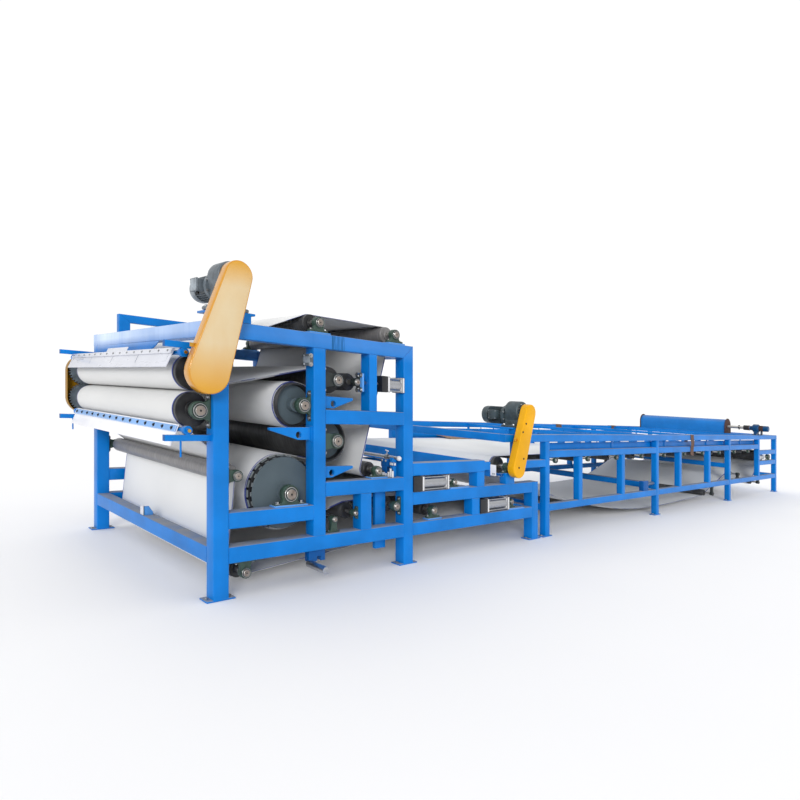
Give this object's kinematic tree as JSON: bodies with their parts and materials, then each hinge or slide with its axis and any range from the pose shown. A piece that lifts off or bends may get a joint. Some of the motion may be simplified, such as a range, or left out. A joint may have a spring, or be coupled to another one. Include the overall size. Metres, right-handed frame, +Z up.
{
  "type": "belt filter press",
  "caption": "Roller press with paired endless filter belts, followed by a long gravity drainage table on a welded tube frame.",
  "frame": {"origin": "centre of the underside of the near front foot plate", "axes": "+X along the machine from the press to the feed end, +Y across it to the far side frame, +Z up"},
  "size_m": [15.41, 3.59, 2.8799],
  "materials": {
    "frame_blue": "gloss machine paint",
    "bearing_green": "painted cast iron",
    "belt_cloth": "woven polyester filter cloth with blue edges",
    "rubber_black": "rubber lagging",
    "drum_grey": "grey paint",
    "guard_yellow": "gloss sheet paint",
    "motor_grey": "grey paint",
    "cylinder_alloy": "drawn alloy tube",
    "blade_white": "plain sheet",
    "flange_brown": "red-brown primer"
  },
  "bodies": {
    "frame": {"air_cylinders": "cylinder_alloy", "drive_pedestals": "frame_blue", "feed_box_cover": "frame_blue", "feed_box_ends": "flange_brown", "feed_gearmotor": "motor_grey", "feed_roller": "flange_brown", "foot_plates": "frame_blue", "gear_guard": "guard_yellow", "gravity_belt": "belt_cloth", "idler_hangers": "frame_blue", "idler_rollers": "rubber_black", "lower_belt": "belt_cloth", "motor_stands": "frame_blue", "press_bearings": "bearing_green", "press_cross_tubes": "frame_blue", "press_drive_guard": "guard_yellow", "press_drive_motor": "motor_grey", "press_posts_far": "frame_blue", "press_posts_near": "frame_blue", "press_rails_far": "frame_blue", "press_rails_near": "frame_blue", "scraper_arms": "frame_blue", "side_fittings": "frame_blue", "slide_tracks": "frame_blue", "table_bearings": "bearing_green", "table_cross_tubes": "frame_blue", "table_drive_guard": "guard_yellow", "table_drive_motor": "motor_grey", "table_posts": "frame_blue", "table_rails": "frame_blue", "upper_belt": "belt_cloth", "wash_pipe": "cylinder_alloy"},
    "belt_support_roller": {"belt_support_roller": "rubber_black"},
    "bottom_roller": {"bottom_roller": "rubber_black"},
    "front_top_roller": {"front_top_roller": "rubber_black"},
    "low_return_roller": {"low_return_roller": "rubber_black"},
    "lower_press_roller": {"lower_press_roller": "rubber_black"},
    "lower_scraper": {"lower_scraper": "blade_white"},
    "lower_tension_roller": {"lower_tension_roller": "rubber_black"},
    "lower_tension_slides": {"lower_tension_slides": "frame_blue"},
    "parting_roller": {"parting_roller": "rubber_black"},
    "pressure_roller": {"pressure_roller": "rubber_black"},
    "pressure_slides": {"pressure_slides": "frame_blue"},
    "rear_top_roller": {"rear_top_roller": "rubber_black"},
    "return_roller_1": {"return_roller_1": "rubber_black"},
    "return_roller_2": {"return_roller_2": "rubber_black"},
    "return_roller_3": {"return_roller_3": "rubber_black"},
    "riser_roller": {"riser_roller": "rubber_black"},
    "second_press_roller": {"second_press_roller": "drum_grey"},
    "slatted_drum": {"slatted_drum": "drum_grey"},
    "small_guide_roller": {"small_guide_roller": "rubber_black"},
    "table_drive_roller": {"table_drive_roller": "rubber_black"},
    "table_tail_roller": {"table_tail_roller": "rubber_black"},
    "third_press_roller": {"third_press_roller": "drum_grey"},
    "turn_roller": {"turn_roller": "rubber_black"},
    "upper_press_roller": {"upper_press_roller": "rubber_black"},
    "upper_scraper": {"upper_scraper": "blade_white"},
    "upper_tension_roller": {"upper_tension_roller": "rubber_black"},
    "upper_tension_slides": {"upper_tension_slides": "frame_blue"},
    "wash_guide_roller": {"wash_guide_roller": "rubber_black"}
  },
  "joints": [
    {"name": "pressure_slides_travel", "type": "slide", "parent": "frame", "child": "pressure_slides", "axis": [1, 0, 0], "range_m": [0, 0.05]},
    {"name": "upper_tension_slides_travel", "type": "slide", "parent": "frame", "child": "upper_tension_slides", "axis": [-1, 0, 0], "range_m": [0, 0.03]},
    {"name": "lower_tension_slides_travel", "type": "slide", "parent": "frame", "child": "lower_tension_slides", "axis": [-1, 0, 0], "range_m": [0, 0.03]},
    {"name": "upper_press_roller_turn", "type": "hinge", "parent": "frame", "child": "upper_press_roller", "pos_m": [-0.17, 0, 1.915], "axis": [0, 1, 0], "continuous": true},
    {"name": "lower_press_roller_turn", "type": "hinge", "parent": "frame", "child": "lower_press_roller", "pos_m": [-0.17, 0, 1.598], "axis": [0, 1, 0], "continuous": true},
    {"name": "slatted_drum_turn", "type": "hinge", "parent": "frame", "child": "slatted_drum", "pos_m": [0.707, 0, 0.847], "axis": [0, 1, 0], "continuous": true},
    {"name": "second_press_roller_turn", "type": "hinge", "parent": "frame", "child": "second_press_roller", "pos_m": [0.855, 0, 1.674], "axis": [0, 1, 0], "continuous": true},
    {"name": "third_press_roller_turn", "type": "hinge", "parent": "frame", "child": "third_press_roller", "pos_m": [1.242, 0, 1.336], "axis": [0, 1, 0], "continuous": true},
    {"name": "turn_roller_turn", "type": "hinge", "parent": "frame", "child": "turn_roller", "pos_m": [1.25, 0, 1.939], "axis": [0, 1, 0], "continuous": true},
    {"name": "front_top_roller_turn", "type": "hinge", "parent": "frame", "child": "front_top_roller", "pos_m": [1.03, 0, 2.48], "axis": [0, 1, 0], "continuous": true},
    {"name": "rear_top_roller_turn", "type": "hinge", "parent": "frame", "child": "rear_top_roller", "pos_m": [2.02, 0, 2.475], "axis": [0, 1, 0], "continuous": true},
    {"name": "wash_guide_roller_turn", "type": "hinge", "parent": "frame", "child": "wash_guide_roller", "pos_m": [0.17, 0, 1.04], "axis": [0, 1, 0], "continuous": true},
    {"name": "riser_roller_turn", "type": "hinge", "parent": "frame", "child": "riser_roller", "pos_m": [1.775, 0, 1.02], "axis": [0, 1, 0], "continuous": true},
    {"name": "small_guide_roller_turn", "type": "hinge", "parent": "frame", "child": "small_guide_roller", "pos_m": [1.469, 0, 0.606], "axis": [0, 1, 0], "continuous": true},
    {"name": "parting_roller_turn", "type": "hinge", "parent": "frame", "child": "parting_roller", "pos_m": [2.03, 0, 0.631], "axis": [0, 1, 0], "continuous": true},
    {"name": "low_return_roller_turn", "type": "hinge", "parent": "frame", "child": "low_return_roller", "pos_m": [2.61, 0, 0.538], "axis": [0, 1, 0], "continuous": true},
    {"name": "bottom_roller_turn", "type": "hinge", "parent": "frame", "child": "bottom_roller", "pos_m": [0.25, 0, 0.19], "axis": [0, 1, 0], "continuous": true},
    {"name": "belt_support_roller_turn", "type": "hinge", "parent": "frame", "child": "belt_support_roller", "pos_m": [1.20749, 0, 0.56669], "axis": [0, 1, 0], "continuous": true},
    {"name": "pressure_roller_turn", "type": "hinge", "parent": "pressure_slides", "child": "pressure_roller", "pos_m": [1.49, 0, 1.934], "axis": [0, 1, 0], "continuous": true},
    {"name": "upper_tension_roller_turn", "type": "hinge", "parent": "upper_tension_slides", "child": "upper_tension_roller", "pos_m": [2.956, 0, 0.843], "axis": [0, 1, 0], "continuous": true},
    {"name": "lower_tension_roller_turn", "type": "hinge", "parent": "lower_tension_slides", "child": "lower_tension_roller", "pos_m": [4.058, 0, 0.532], "axis": [0, 1, 0], "continuous": true},
    {"name": "table_drive_roller_turn", "type": "hinge", "parent": "frame", "child": "table_drive_roller", "pos_m": [3.97, 0, 0.985], "axis": [0, 1, 0], "continuous": true},
    {"name": "table_tail_roller_turn", "type": "hinge", "parent": "frame", "child": "table_tail_roller", "pos_m": [14.36, 0, 0.88], "axis": [0, 1, 0], "continuous": true},
    {"name": "return_roller_1_turn", "type": "hinge", "parent": "frame", "child": "return_roller_1", "pos_m": [10.81, 0, 0.2], "axis": [0, 1, 0], "continuous": true},
    {"name": "return_roller_2_turn", "type": "hinge", "parent": "frame", "child": "return_roller_2", "pos_m": [12.3, 0, 0.541], "axis": [0, 1, 0], "continuous": true},
    {"name": "return_roller_3_turn", "type": "hinge", "parent": "frame", "child": "return_roller_3", "pos_m": [13.63, 0, 0.29], "axis": [0, 1, 0], "continuous": true},
    {"name": "upper_scraper_tilt", "type": "hinge", "parent": "frame", "child": "upper_scraper", "pos_m": [-0.3, 0, 2.07], "axis": [0, 1, 0], "range_deg": [0, 20]},
    {"name": "lower_scraper_tilt", "type": "hinge", "parent": "frame", "child": "lower_scraper", "pos_m": [-0.27, 0, 1.431], "axis": [0, 1, 0], "range_deg": [-20, 0]}
  ],
  "couplings": [
    {"joint": "upper_press_roller_turn", "follows": "lower_press_roller_turn", "ratio": -1}
  ]
}
